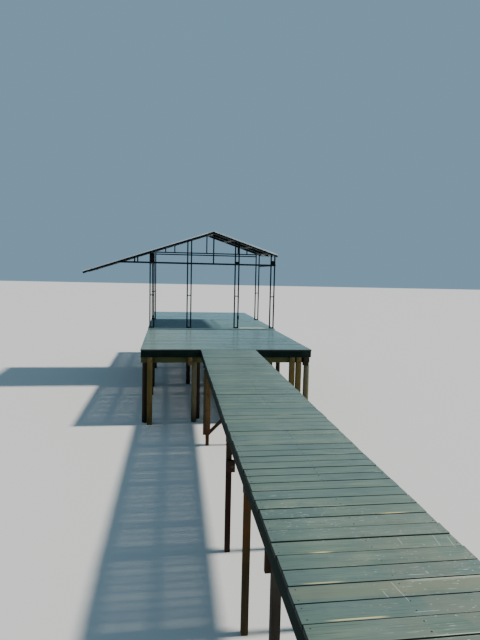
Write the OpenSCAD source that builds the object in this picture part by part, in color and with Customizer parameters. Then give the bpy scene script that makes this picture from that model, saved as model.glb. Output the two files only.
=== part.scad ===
// Timber lake jetty: a boarded walkway on bents, a wider platform on posts and piles,
// and a higher deck behind it that carries a steel-tube canopy with a lopsided gable roof.
// Origin at the bottom centre of the whole, +Y towards the lake, millimetres.

/* [Overall] */
// Height of the walkway's deck top above the feet of the legs
deck_h = 1700; // [1300:10:2600]
// Boards along the walkway
walk_boards = 66; // [62:1:90]
// Boards along the front platform
front_boards = 27; // [20:1:50]
// Boards along the deck under the canopy
canopy_boards = 20; // [18:1:40]
// Boards along the open deck behind the canopy
rear_boards = 23; // [14:1:50]
// Width of the walkway
walk_w = 1220; // [900:5:1800]
// Width of the platform and of the decks behind it
platform_w = 3874; // [3400:2:5600]
// Distance from the platform's left edge to the walkway's left edge
walk_inset = 1265; // [1200:5:1500]
// How far the walkway's left edge swings right from the second bent to the platform
skew_left = 58; // [0:1:80]
// How far its right edge swings right from the third bent to the platform
skew_right = 82; // [0:1:100]

/* [Boards and joists] */
// Width of a deck board
board_w = 140; // [90:1:190]
// Gap between two deck boards
board_gap = 12.4; // [3:0.1:16]
// Thickness of the deck boards
board_t = 38; // [25:1:50]
// How far the board ends stand out past the rim boards
nosing = 12; // [6:1:25]
// Thickness of rim boards, joists and bolted beams
joist_t = 38; // [32:1:60]
// Height of rim boards and joists
joist_h = 140; // [120:1:200]
// Joists between the two side rims of the platform
joist_count = 5; // [3:2:9]

/* [Walkway bents] */
// Bays from the platform towards the bank, post face to post face
bay_steps = [1450, 3900, 1450, 1280]; // [1000:10:4200]
// Last bay, nearest the bank
end_bay = 1420; // [1000:10:1500]
// Side of the square legs
leg_w = 66; // [60:1:110]
// Height of the beams bolted to the legs
crossbeam_h = 165; // [140:1:240]
// Height above ground at which the board that doubles the first left leg ends
sister_foot = 230; // [0:5:600]
// How far that board stands out to the left of the leg
sister_out = 57; // [0:1:120]
// Height of the short board on the second left leg
scab_l = 145; // [120:5:400]
// Drop from the rim to the top of the short board
scab_drop = 356; // [0:1:400]
// Height of the brace at the first legs
brace_h = 89; // [60:1:120]
// Rise of the brace from the left leg to the right one
brace_rise = 1140; // [400:10:1200]

/* [Platform posts and piles] */
// Side of the square posts along the platform's front
post_w = 115; // [90:1:140]
// Distance from the platform's left edge to the left post
post_left_in = 152; // [145:1:300]
// Distance from the platform's right edge to the outer right post
post_right_in = 232; // [180:1:400]
// Gap between the two right posts
post_gap = 38; // [10:1:120]
// Width of the short stub that hangs from the front beam beside an old pile
stub_w = 96; // [60:1:110]
// Drop of the stub below the rim
stub_l = 180; // [120:1:400]
// Height of the beam that the front posts carry
front_beam_h = 140; // [89:1:184]
// Diameter of the round piles
pile_d = 130; // [110:1:200]
// Distance from the side edge of the deck to the axis of the outer piles
pile_inset = 150; // [120:5:200]
// Distance from the platform's front to the middle row of piles
mid_row_y = 2900; // [1800:10:3000]
// Distance from an end of a deck to the row of piles nearest to it
end_row_in = 160; // [120:5:300]
// Diameter of the cut-off pile at the right front corner
corner_pile_d = 146; // [90:1:160]
// Height of the block that makes up this pile's length, below the front beam
corner_block_drop = 52; // [40:1:200]

/* [Canopy] */
// Distance between the front and back post rows
canopy_span = 2900; // [2200:10:3000]
// Distance from the upper deck's front edge to the front post row
canopy_setback = 75; // [60:5:120]
// Distance from the centre line to the outer front posts
outer_post_x = 1825; // [1500:5:1850]
// Distance from the centre line to the back posts
back_post_x = 1850; // [1500:5:1850]
// Distance from the centre line to the inner posts
inner_post_x = 720; // [400:5:1000]
// Width over the two tubes of a post
ladder_w = 150; // [110:1:220]
// Side of the square tube of posts and ties
tube = 38; // [30:1:50]
// Side of the square tube of rafters, purlins and bottom chord
rafter_tube = 50; // [40:1:70]
// Height of the bottom chord's middle above the platform
chord_h = 1980; // [1800:10:2100]
// Height of the front rafters' top at the ridge, above the platform
ridge_h = 2943; // [2800:1:3200]
// Rise of the whole roof from the front post row to the back one
roof_rise = 120; // [0:5:160]
// Horizontal run from ridge to eave on the short right side
right_run = 1960; // [1950:5:2600]
// Horizontal run from ridge to eave on the long left side
left_run = 3810; // [3300:5:4200]
// Fall of the roof for one unit of run
roof_fall = 0.333; // [0.25:0.001:0.36]
// How far the roof stands out past the front and back post rows
roof_over = 110; // [80:5:200]
// Distance between two purlins
purlin_pitch = 575; // [450:5:700]
// Distance between two ribs of the roof sheets
rib_pitch = 229; // [180:1:320]
// Height of the ribs of the roof sheets
rib_h = 19; // [12:1:32]
// Thickness of the roof sheets and trims
sheet_t = 2; // [1:0.5:4]
// Width of the ridge cap's wings
cap_wing = 160; // [100:5:240]
// Width of the trim's leg that lies on the roof
trim_flange = 85; // [80:1:120]
// Thickness of the posts' foot plates
foot_plate = 8; // [5:1:15]
// Length of the mooring cleat
cleat_l = 130; // [80:5:240]
// Height of the cleat above the deck
cleat_z = 330; // [200:10:700]
// Height of the rung between a post's two tubes, above the deck
rung_h = 970; // [600:10:1400]

/* [Hidden] */

pitch = board_w + board_gap;
walk_len = walk_boards * pitch;
front_len = front_boards * pitch;
canopy_len = canopy_boards * pitch;
rear_len = rear_boards * pitch;
upper_len = canopy_len + rear_len;
half_w = platform_w / 2;

// Levels: the upper deck lies one board higher than the platform
joist_top = deck_h - board_t;
joist_low = joist_top - joist_h;
upper_joist_low = joist_low + board_t;

// Walkway in the platform's own frame: X = 0 on the centre line, Y = 0 at the platform's front
walk_x0 = -half_w + walk_inset;
walk_x1 = walk_x0 + walk_w;
rim_len = walk_len - joist_t;
bent_y = [
  -bay_steps[0],
  -bay_steps[0] - bay_steps[1],
  -bay_steps[0] - bay_steps[1] - bay_steps[2],
  -bay_steps[0] - bay_steps[1] - bay_steps[2] - bay_steps[3],
  -bay_steps[0] - bay_steps[1] - bay_steps[2] - bay_steps[3] - end_bay
];
// How far each beam's left end runs out under the rim, past the leg
beam_runout = [0, 0, 0, joist_t, 0];

// Platform and upper deck
joist_gap = platform_w / (joist_count + 1);
beam_h = 184;
pile_x = half_w - pile_inset;
platform_pile_y = [mid_row_y, front_len - end_row_in];
canopy_front_y = front_len + canopy_setback;
canopy_back_y = canopy_front_y + canopy_span;
rear_end_y = front_len + upper_len;
upper_pile_y = [front_len + end_row_in, canopy_back_y - pile_d, rear_end_y - end_row_in];
corner_pile_x = half_w - nosing - corner_pile_d / 2 - 10;
corner_pile_top = joist_low - front_beam_h - corner_block_drop;
old_pile_y = 250;
old_pile_d = pile_d;
// Distance from the walkway's left edge to the stub
stub_in = 118;
// The corner block is narrower than its pile and stands out past it on the left
corner_block_w = corner_pile_d - 22;
corner_block_out = 13;

// Roof
slope = atan(roof_fall);
roof_lean = atan(roof_rise / canopy_span);
// Rise of a profile that is drawn square to the slope, for one unit along Y
profile_lean = tan(roof_lean) * cos(slope);
// Clearance left where a piece seats on a sloping face
seat = 0.3;
rafter_v = rafter_tube / cos(slope);
ridge_z = deck_h + ridge_h;
chord_z = deck_h + chord_h;
upper_top = deck_h + board_t;
front_frame_y = canopy_front_y - tube / 2;
back_frame_y = canopy_back_y + tube / 2 - rafter_tube;
// Front faces of the three pairs of rafters
bow_y = [front_frame_y, (front_frame_y + back_frame_y) / 2, back_frame_y];
back_lift = roof_lift(back_frame_y);
// Length cut off at each end of a piece that follows the roof's rise
rise_spare = left_run * roof_fall * tan(roof_lean) + rafter_tube;
// Height of the rib tops above the rafters' top
rib_lift = (rib_h + sheet_t) / cos(slope) + 2 * seat;
// Depth of the eave trims below the rafters' top: they reach past the rafters' underside
eave_drop = rafter_v + sheet_t + 1 + roof_lift(front_frame_y + rafter_tube);
roof_y0 = canopy_front_y - roof_over;
roof_len = canopy_span + 2 * roof_over;
roof_y1 = roof_y0 + roof_len;
rib_w = 44;
rib_count = floor((roof_len - 2 * rib_w) / rib_pitch);
rib_margin = (roof_len - rib_count * rib_pitch) / 2;
// Distance from the ridge line to the sheets' upper ends, and from the eave to their lower ends
sheet_gap = 12;
rung_t = 26;
// Left web pair of the front frame: distance outside the outer post, and between the two
web_out = 420;
web_pair = 88;
// Back webs beside the king post
back_web_x = [1130, 1450];
// Height of the lower back tie over the heads of the outer front posts
tie_clear = 10;
tie_step = tube * 1.8;
tie_low = roof_z(outer_post_x - ladder_w / 2) - rafter_v + tie_clear;

// The whole is centred on the origin
axis_x = (left_run - right_run) / 2;
front_y = (walk_len - rear_end_y) / 2;

module place() {
  translate([axis_x, front_y, 0]) children();
}

module block(x, y, z, w, d, h) {
  translate([x, y, z]) cube([w, d, h]);
}

// Height of the front rafters' top, and how much higher the roof is further back
function roof_z(x) = ridge_z - abs(x) * roof_fall;
function roof_lift(y) = (y - front_frame_y) * tan(roof_lean);

// Edges of the walkway: parallel from the bank, then both swing right towards the platform
function edge_left(y) = walk_x0 + skew_left * max(0, 1 - y / bent_y[1]);
function edge_right(y) = walk_x1 + skew_right * max(0, 1 - y / bent_y[2]);
function left_line(y0, y1) = [for (y = [y0, bent_y[1], y1]) [edge_left(y), y]];
function right_line(y0, y1) = [for (y = [y0, bent_y[2], y1]) [edge_right(y), y]];
function leg_left(y) = edge_left(y + leg_w) + nosing + joist_t;
function leg_right(y) = edge_right(y) - nosing - joist_t - leg_w;

function backwards(points) = [for (i = [len(points) - 1:-1:0]) points[i]];

// A board on edge that follows a line, from near to near + joist_t beside it
module kinked_board(line, near) {
  place() translate([0, 0, joist_low]) linear_extrude(joist_h)
    polygon(concat(
      [for (p = line) p + [near, 0]],
      [for (p = backwards(line)) p + [near + joist_t, 0]]
    ));
}

// Walkway
module walkway_deck() {
  color("darkslategray") place() translate([0, 0, joist_top]) linear_extrude(board_t)
    polygon(concat(left_line(-walk_len, 0), backwards(right_line(-walk_len, 0))));
}

module walkway_rim_left() {
  color("darkslategray")
    kinked_board(left_line(nosing - rim_len, nosing), nosing);
}

module walkway_rim_right() {
  color("darkslategray")
    kinked_board(right_line(nosing - rim_len, nosing), -nosing - joist_t);
}

module walkway_rim_end() {
  color("darkslategray") place()
    block(walk_x0 + nosing, nosing - walk_len, joist_low,
          walk_w - 2 * nosing, joist_t, joist_h);
}

module walkway_joist() {
  stations = [nosing - rim_len, bent_y[2], bent_y[1], nosing];
  color("sienna")
    kinked_board([for (y = stations) [(edge_left(y) + edge_right(y)) / 2, y]], -joist_t / 2);
}

module walkway_crossbeams() {
  color("sienna") place()
    for (i = [0:len(bent_y) - 1])
      let (y = bent_y[i], x0 = leg_left(y) - beam_runout[i], x1 = leg_right(y) + leg_w)
        block(x0, y + leg_w, joist_low - crossbeam_h, x1 - x0, joist_t, crossbeam_h);
}

module walkway_legs_left() {
  color("saddlebrown") place()
    for (y = bent_y) block(leg_left(y), y, 0, leg_w, leg_w, joist_top);
}

module walkway_legs_right() {
  color("saddlebrown") place()
    for (y = bent_y) block(leg_right(y), y, 0, leg_w, leg_w, joist_top);
}

// Boards bolted to the front faces of the first two left legs
module walkway_sister_boards() {
  color("peru") place() {
    block(leg_left(bent_y[0]) - sister_out, bent_y[0] - joist_t, sister_foot,
          joist_h, joist_t, joist_low - sister_foot);
    block(leg_left(bent_y[1]) + 13, bent_y[1] - joist_t, joist_low - scab_drop - scab_l,
          brace_h, joist_t, scab_l);
  }
}

// A board from the left leg's foot up to the right leg, just under the crossbeam
module walkway_brace() {
  low_end = leg_left(bent_y[0]);
  high_end = leg_right(bent_y[0]) + leg_w;
  top = joist_low - crossbeam_h - 10;
  rise = min(brace_rise, top - 2 * brace_h);
  color("saddlebrown") place()
    translate([0, bent_y[0] + leg_w + joist_t, 0]) rotate([90, 0, 0])
      linear_extrude(joist_t)
        polygon([
          [low_end, top - rise - brace_h], [high_end, top - brace_h],
          [high_end, top], [low_end, top - rise]
        ]);
}

// Front platform
module platform_deck() {
  color("darkslategray") place()
    block(-half_w, 0, joist_top, platform_w, front_len, board_t);
}

module cross_rim(y, z) {
  color("darkslategray") place()
    block(nosing - half_w, y, z, platform_w - 2 * nosing, joist_t, joist_h);
}

module side_rim(x, y, z, run) {
  color("darkslategray") place() block(x, y, z, joist_t, run, joist_h);
}

module deck_joists(y, z, run) {
  color("sienna") place()
    for (i = [1:joist_count])
      block(i * joist_gap - half_w - joist_t / 2, y, z, joist_t, run, joist_h);
}

module platform_front_beam() {
  color("darkgoldenrod") place()
    block(nosing - half_w, nosing + post_w, joist_low - front_beam_h,
          platform_w - 2 * nosing, joist_t, front_beam_h);
}

// A beam is two planks on edge, standing on the piles
module pile_beams(rows, z) {
  color("sienna") place()
    for (y = rows, side = [0, 1])
      block(nosing - half_w, y - joist_t * 1.25 + side * joist_t * 1.5, z - beam_h,
            platform_w - 2 * nosing, joist_t, beam_h);
}

module pile(x, y, h, d) {
  translate([x, y, 0]) cylinder(h = h, d = d, $fn = 48);
}

// Posts of new timber, and the stub that hangs in front of an old pile
module platform_posts() {
  outer = half_w - post_right_in - post_w;
  color("darkkhaki") place() {
    for (x = [post_left_in - half_w, outer - post_gap - post_w, outer])
      block(x, nosing, 0, post_w, post_w, joist_low);
    block(walk_x0 - stub_in - stub_w, nosing, joist_low - stub_l, stub_w, post_w, stub_l);
  }
}

module platform_corner_block() {
  color("darkolivegreen") place()
    block(corner_pile_x - corner_pile_d / 2 - corner_block_out, nosing, corner_pile_top,
          corner_block_w, post_w, joist_low - corner_pile_top);
}

// Old round piles that the new front was built against: one at the right corner, one under the
// left rim, one behind the front beam and one under the joist nearest to the walkway
module platform_old_piles() {
  beam_back = nosing + post_w + joist_t;
  joist_x = joist_gap * round(walk_inset / joist_gap) - half_w;
  color("olive") place() {
    pile(corner_pile_x, nosing + corner_pile_d / 2, corner_pile_top, corner_pile_d);
    pile(nosing + joist_t / 2 + old_pile_d / 2 - half_w, old_pile_y, joist_low, old_pile_d);
    pile(walk_x0 - old_pile_d / 2, beam_back + old_pile_d / 2, joist_low, old_pile_d);
    pile(joist_x, 2 * old_pile_y, joist_low, old_pile_d);
  }
}

module platform_piles() {
  color("saddlebrown") place()
    for (y = platform_pile_y, x = [-pile_x, 0, pile_x])
      pile(x, y, joist_low - beam_h, pile_d);
}

// Upper deck
module canopy_deck() {
  color("darkslategray") place()
    block(-half_w, front_len, joist_top + board_t, platform_w, canopy_len, board_t);
}

module rear_deck() {
  color("darkslategray") place()
    block(-half_w, front_len + canopy_len, joist_top + board_t,
          platform_w, rear_len, board_t);
}

module upper_piles() {
  color("saddlebrown") place() {
    for (x = [-pile_x, -inner_post_x, inner_post_x, pile_x])
      pile(x, upper_pile_y[0], upper_joist_low - beam_h, pile_d);
    for (y = [upper_pile_y[1], upper_pile_y[2]], x = [-pile_x, 0, pile_x])
      pile(x, y, upper_joist_low - beam_h, pile_d);
  }
}

// A canopy post: two tubes on a foot plate, closed by rungs, cut to the rafter's underside
module ladder_post(x, lift) {
  inner = ladder_w - 2 * tube;
  head = lift - rafter_v - seat;
  module tube_leg(x0) {
    rotate([90, 0, 0]) translate([0, 0, -tube]) linear_extrude(tube)
      polygon([
        [x0, upper_top + foot_plate],
        [x0 + tube, upper_top + foot_plate],
        [x0 + tube, roof_z(x0 + tube) + head],
        [x0, roof_z(x0) + head]
      ]);
  }
  tube_leg(x - ladder_w / 2);
  tube_leg(x + ladder_w / 2 - tube);
  block(x - inner / 2, 0, upper_top + foot_plate, inner, tube, rung_t);
  block(x - inner / 2, 0, upper_top + rung_h, inner, tube, rung_t);
  block(x - ladder_w / 2 - foot_plate, -tube / 2, upper_top,
        ladder_w + 2 * foot_plate, tube * 2, foot_plate);
}

module canopy_posts_front() {
  color("#15171a") place()
    for (x = [-outer_post_x, -inner_post_x, inner_post_x, outer_post_x])
      translate([0, front_frame_y, 0]) ladder_post(x, 0);
}

module canopy_posts_back() {
  color("#15171a") place()
    for (x = [-back_post_x, back_post_x])
      translate([0, canopy_back_y - tube / 2, 0]) ladder_post(x, back_lift);
}

// The chord runs on past the left posts and is cut along the sheet's underside where they meet
module canopy_chord() {
  low = chord_z - rafter_tube / 2;
  high = chord_z + rafter_tube / 2;
  right = outer_post_x + ladder_w / 2;
  top = ridge_z + roof_lift(front_frame_y - rafter_tube);
  color("#15171a") place()
    translate([0, front_frame_y, 0]) rotate([90, 0, 0]) linear_extrude(rafter_tube)
      polygon([
        [-min((top - low) / roof_fall, left_run - sheet_t), low], [right, low],
        [right, high], [-min((top - high) / roof_fall, left_run - sheet_t), high]
      ]);
}

// Two tubes between the back posts, cut along the rafters' underside where it is in the way
module canopy_ties() {
  under = ridge_z + back_lift - rafter_v - seat;
  color("#15171a") place()
    for (z = [tie_low, tie_low + tie_step])
      let (
        low_x = min(back_post_x - ladder_w / 2, (under - z) / roof_fall),
        high_x = min(low_x, (under - z - tube) / roof_fall),
        shoulder = min(z + tube, under - low_x * roof_fall),
        right = [[low_x, z], [low_x, shoulder], [high_x, z + tube]]
      )
        translate([0, back_frame_y + rafter_tube, 0]) rotate([90, 0, 0])
          linear_extrude(tube)
            polygon(concat(right, [for (p = backwards(right)) [-p[0], p[1]]]));
}

module web(x, y, z, lift) {
  head = lift - rafter_v - seat;
  translate([0, y + tube, 0]) rotate([90, 0, 0]) linear_extrude(tube)
    polygon(concat(
      [[x - tube / 2, z], [x + tube / 2, z], [x + tube / 2, roof_z(x + tube / 2) + head]],
      abs(x) < tube / 2 ? [[0, roof_z(0) + head]] : [],
      [[x - tube / 2, roof_z(x - tube / 2) + head]]
    ));
}

module canopy_webs() {
  tie_top = tie_low + tie_step + tube;
  color("#15171a") place() {
    for (x = [-outer_post_x - web_out - web_pair, -outer_post_x - web_out, 0])
      web(x, front_frame_y, chord_z - rafter_tube / 2, 0);
    for (x = concat(-back_web_x, [0], back_web_x))
      web(x, back_frame_y + rafter_tube - tube, tie_top, back_lift);
  }
}

// Plates that close the post heads, between chord and rafter
module canopy_head_plates() {
  plate_t = 6;
  place_and_height = [[-outer_post_x, 250], [inner_post_x, 60], [outer_post_x, 110]];
  color("#15171a") place()
    for (plate = place_and_height)
      block(plate[0] - ladder_w / 2, front_frame_y - plate_t, chord_z + rafter_tube / 2,
            ladder_w, plate_t, plate[1]);
}

// The eave beams lap both the front and the back posts' outer tubes
module canopy_eave_beams() {
  inner = (outer_post_x + back_post_x + ladder_w) / 2 - tube;
  color("#15171a") place()
    for (x = [-inner - tube, inner])
      block(x, canopy_front_y + tube / 2, chord_z - tube / 2, tube, canopy_span - tube, tube);
}

// Roof frame: side is -1 on the left and 1 on the right
function bar_section(side, run0, run1) = [
  [side * run0, roof_z(run0)], [side * run1, roof_z(run1)],
  [side * run1, roof_z(run1) - rafter_v], [side * run0, roof_z(run0) - rafter_v]
];

module rafters(side, run) {
  color("#15171a") place()
    for (y = bow_y)
      translate([0, y + rafter_tube, roof_lift(y)]) rotate([90, 0, 0])
        linear_extrude(rafter_tube) polygon(bar_section(side, 0, run));
}

// A profile in X and Z carried back along the roof's rise, cut upright at both ends
module along_rise(y0, y1, profile) {
  far = y1 + rise_spare;
  wide = left_run + right_run;
  intersection() {
    translate([0, far, ridge_z + roof_lift(far)]) rotate([90 + roof_lean, 0, 0])
      linear_extrude((far - y0 + rise_spare) / cos(roof_lean))
        polygon([for (p = profile) [p[0], (p[1] - ridge_z) * cos(roof_lean)]]);
    block(-wide, y0, 0, 2 * wide, y1 - y0, 2 * ridge_z);
  }
}

// The purlins are welded in between the rafters, flush with their tops
module purlins(side, run) {
  color("#15171a") place()
    for (i = [0:floor((run - rafter_tube) / purlin_pitch)], bay = [0, 1])
      along_rise(bow_y[bay] + rafter_tube, bow_y[bay + 1],
                 bar_section(side, i * purlin_pitch, i * purlin_pitch + rafter_tube));
}

// Ribbed sheet: flat pans with trapezoidal ribs that run from ridge to eave
module roof_sheet(side, run) {
  foot = rib_w / 2;
  crest = rib_w / 4;
  outline = concat([[0, 0]],
    [for (i = [0:rib_count])
      let (c = rib_margin + i * rib_pitch)
        for (p = [[-foot, 0], [-crest, rib_h], [crest, rib_h], [foot, 0]])
          [c + p[0], p[1]]],
    [[roof_len, 0]]);
  section = concat(outline, [for (p = backwards(outline)) p + [0, sheet_t]]);
  color("#9aa3a8") place() mirror([side < 0 ? 1 : 0, 0, 0])
    intersection() {
      translate([0, roof_y0, ridge_z + seat + roof_lift(roof_y0)]) rotate([0, slope, 0])
        translate([-rise_spare, 0, 0]) rotate([90, 0, 90])
          linear_extrude(run / cos(slope) + rise_spare)
            polygon([for (p = section) p + [0, p[0] * profile_lean]]);
      block(sheet_gap, roof_y0 - 1, 0, run - 2 * sheet_gap, roof_len + 2, 2 * ridge_z);
    }
}

// The cap is a bent strip that lies on the rib tops
module ridge_cap() {
  low = roof_z(cap_wing) + rib_lift;
  high = ridge_z + rib_lift;
  t = sheet_t / cos(slope);
  color("#b9bfc2") place()
    along_rise(roof_y0, roof_y1, [
      [-cap_wing, low], [0, high], [cap_wing, low],
      [cap_wing, low + t], [0, high + t], [-cap_wing, low + t]
    ]);
}

// Angle trim along the cut edges: one leg lies on the first rib, the other hangs down
module rake_trims(side, run) {
  start = (cap_wing + 5) / cos(slope);
  long = (run - sheet_t - 1) / cos(slope) - start - rib_lift * sin(slope);
  top = rib_h + sheet_t + 2 * seat;
  hang = rib_h + 15;
  module trim(y, inward) {
    flange = top + inward * trim_flange * profile_lean;
    translate([0, y, ridge_z + roof_lift(y)]) rotate([0, slope, 0])
      translate([start, 0, 0]) rotate([90, 0, 90]) linear_extrude(long)
        polygon([
          [-inward * sheet_t, top - hang], [0, top - hang], [0, top],
          [inward * trim_flange, flange], [inward * trim_flange, flange + sheet_t],
          [-inward * sheet_t, top + sheet_t]
        ]);
  }
  color("#b9bfc2") place() mirror([side < 0 ? 1 : 0, 0, 0]) {
    trim(roof_y0, 1);
    trim(roof_y1, -1);
  }
}

// Angle trim that closes the rafters' lower ends
module eave_trims() {
  lip = 14;
  color("#b9bfc2") place()
    for (side = [-1, 1])
      let (
        run = side < 0 ? left_run : right_run,
        low = roof_z(run) - eave_drop,
        high = roof_z(run) + rib_h / 2
      )
        along_rise(roof_y0, roof_y1, [for (p = [
          [run, low], [run, high], [run - sheet_t, high],
          [run - sheet_t, low + sheet_t], [run - lip, low + sheet_t], [run - lip, low]
        ]) [side * p[0], p[1]]]);
}

// A cleat on the third post: a stand-off block that carries a bar with tapered horns
module mooring_cleat() {
  x = inner_post_x + ladder_w / 2 - tube / 2;
  z = upper_top + cleat_z;
  horn = cleat_l / 2;
  bar = 18;
  color("#222426") place() {
    block(x - bar / 2, front_frame_y - bar, z - bar, bar, bar, 2 * bar);
    translate([x + bar / 2, front_frame_y - bar, z]) rotate([90, 0, -90])
      linear_extrude(bar)
        polygon([
          [0, -bar], [0, bar], [bar / 2, horn], [bar, horn], [bar, -horn], [bar / 2, -horn]
        ]);
  }
}

walkway_deck();
walkway_rim_left();
walkway_rim_right();
walkway_rim_end();
walkway_joist();
walkway_crossbeams();
walkway_legs_left();
walkway_legs_right();
walkway_sister_boards();
walkway_brace();
platform_deck();
cross_rim(nosing, joist_low);  // platform_rim_front
side_rim(nosing - half_w, nosing + joist_t, joist_low, front_len - nosing - 2 * joist_t);  // platform_rim_left
side_rim(half_w - nosing - joist_t, nosing + joist_t, joist_low,  // platform_rim_right
           front_len - nosing - 2 * joist_t);
cross_rim(front_len - joist_t, joist_low);  // platform_rim_back
deck_joists(nosing + joist_t, joist_low, front_len - nosing - 2 * joist_t);  // platform_joists
platform_front_beam();
pile_beams(platform_pile_y, joist_low);  // platform_beams
platform_posts();
platform_corner_block();
platform_old_piles();
platform_piles();
canopy_deck();
rear_deck();
cross_rim(front_len, upper_joist_low);  // upper_rim_front
side_rim(nosing - half_w, front_len + joist_t, upper_joist_low,  // upper_rim_left
           upper_len - nosing - 2 * joist_t);
side_rim(half_w - nosing - joist_t, front_len + joist_t, upper_joist_low,  // upper_rim_right
           upper_len - nosing - 2 * joist_t);
cross_rim(rear_end_y - nosing - joist_t, upper_joist_low);  // upper_rim_back
deck_joists(front_len + joist_t, upper_joist_low, upper_len - nosing - 2 * joist_t);  // upper_joists
pile_beams(upper_pile_y, upper_joist_low);  // upper_beams
upper_piles();
canopy_posts_front();
canopy_posts_back();
canopy_chord();
canopy_ties();
canopy_webs();
canopy_head_plates();
canopy_eave_beams();
rafters(-1, left_run - sheet_t);  // rafters_left
rafters(1, right_run - sheet_t);  // rafters_right
purlins(-1, left_run - sheet_t);  // purlins_left
purlins(1, right_run - sheet_t);  // purlins_right
roof_sheet(-1, left_run);  // roof_sheet_left
roof_sheet(1, right_run);  // roof_sheet_right
ridge_cap();
rake_trims(-1, left_run);  // rake_trim_left
rake_trims(1, right_run);  // rake_trim_right
eave_trims();
mooring_cleat();
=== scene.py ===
import math
import random

import bmesh
import bpy
from mathutils import Matrix, Vector, noise
from mathutils.bvhtree import BVHTree


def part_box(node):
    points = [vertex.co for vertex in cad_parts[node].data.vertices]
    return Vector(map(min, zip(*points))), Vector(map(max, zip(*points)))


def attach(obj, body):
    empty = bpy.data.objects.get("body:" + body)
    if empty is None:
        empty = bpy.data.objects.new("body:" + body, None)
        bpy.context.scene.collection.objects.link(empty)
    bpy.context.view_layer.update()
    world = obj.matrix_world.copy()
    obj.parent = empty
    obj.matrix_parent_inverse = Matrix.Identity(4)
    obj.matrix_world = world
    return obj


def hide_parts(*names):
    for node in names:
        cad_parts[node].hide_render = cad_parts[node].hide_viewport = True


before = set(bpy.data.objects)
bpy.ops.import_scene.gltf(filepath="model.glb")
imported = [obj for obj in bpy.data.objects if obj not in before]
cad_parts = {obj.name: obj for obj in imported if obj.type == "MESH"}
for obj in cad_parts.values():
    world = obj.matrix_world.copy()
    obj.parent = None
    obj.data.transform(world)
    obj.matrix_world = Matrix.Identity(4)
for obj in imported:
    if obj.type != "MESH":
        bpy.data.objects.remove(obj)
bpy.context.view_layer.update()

# View from the near end of the walkway, at standing eye height.
# A soft lamp shines from the right, so the roof's shade falls to the left.
eye = Vector((-0.397, -11.555, 3.378))
turn_right, look_down, tilt = math.radians(7.99), math.radians(5.08), math.radians(1.25)
focal_pixels, picture_height, sensor = 510, 640, 36
camera = bpy.data.objects.new("camera", bpy.data.cameras.new("camera"))
camera.data.sensor_width = sensor
camera.data.lens = sensor * focal_pixels / picture_height
camera.data.clip_end = 400
camera.matrix_world = (
    Matrix.Translation(eye)
    @ Matrix.Rotation(-turn_right, 4, "Z")
    @ Matrix.Rotation(math.pi / 2 - look_down, 4, "X")
    @ Matrix.Rotation(tilt, 4, "Z")
)
bpy.context.scene.collection.objects.link(camera)
bpy.context.scene.camera = camera

sun_height = math.radians(49)
sun = bpy.data.objects.new("sun", bpy.data.lights.new("sun", "SUN"))
sun.data.energy = 5.2
sun.data.angle = math.radians(4)
sun.data.color = (1.0, 0.95, 0.86)
sun.matrix_world = Matrix.Rotation(math.pi / 2 - sun_height, 4, "Y")
bpy.context.scene.collection.objects.link(sun)

world = bpy.data.worlds.new("studio")
world.use_nodes = True
surround = world.node_tree.nodes["Background"].inputs
surround["Color"].default_value = (0.45, 0.755, 1.0, 1)
surround["Strength"].default_value = 0.43
bpy.context.scene.world = world


# Round piles: peeled softwood logs, driven upright and sawn off level under the beams.
# They taper a little, are never quite round, and split along the grain as they dry.
class Value:
    """A shader socket that is written in sums: each sum adds its Math node."""

    def __init__(self, finish, socket):
        self.finish = finish
        self.socket = socket

    def out(self, name):
        return Value(self.finish, self.socket.node.outputs[name])

    def math(self, operation, *others):
        sockets = dict(enumerate((self,) + others))
        return self.finish.node("Math", {"operation": operation}, sockets)

    def __add__(self, other):
        return self.math("ADD", other)

    def __sub__(self, other):
        return self.math("SUBTRACT", other)

    def __rsub__(self, other):
        return self.finish.node("Math", {"operation": "SUBTRACT"}, {0: other, 1: self})

    def __mul__(self, other):
        return self.math("MULTIPLY", other)

    def __truediv__(self, other):
        return self.math("DIVIDE", other)

    __radd__ = __add__
    __rmul__ = __mul__

    def between(self, low, high):
        """0 below low and 1 above high, with a soft step."""
        return self.finish.node(
            "MapRange",
            {"interpolation_type": "SMOOTHSTEP"},
            {"Value": self, "From Min": low, "From Max": high},
        )


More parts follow.
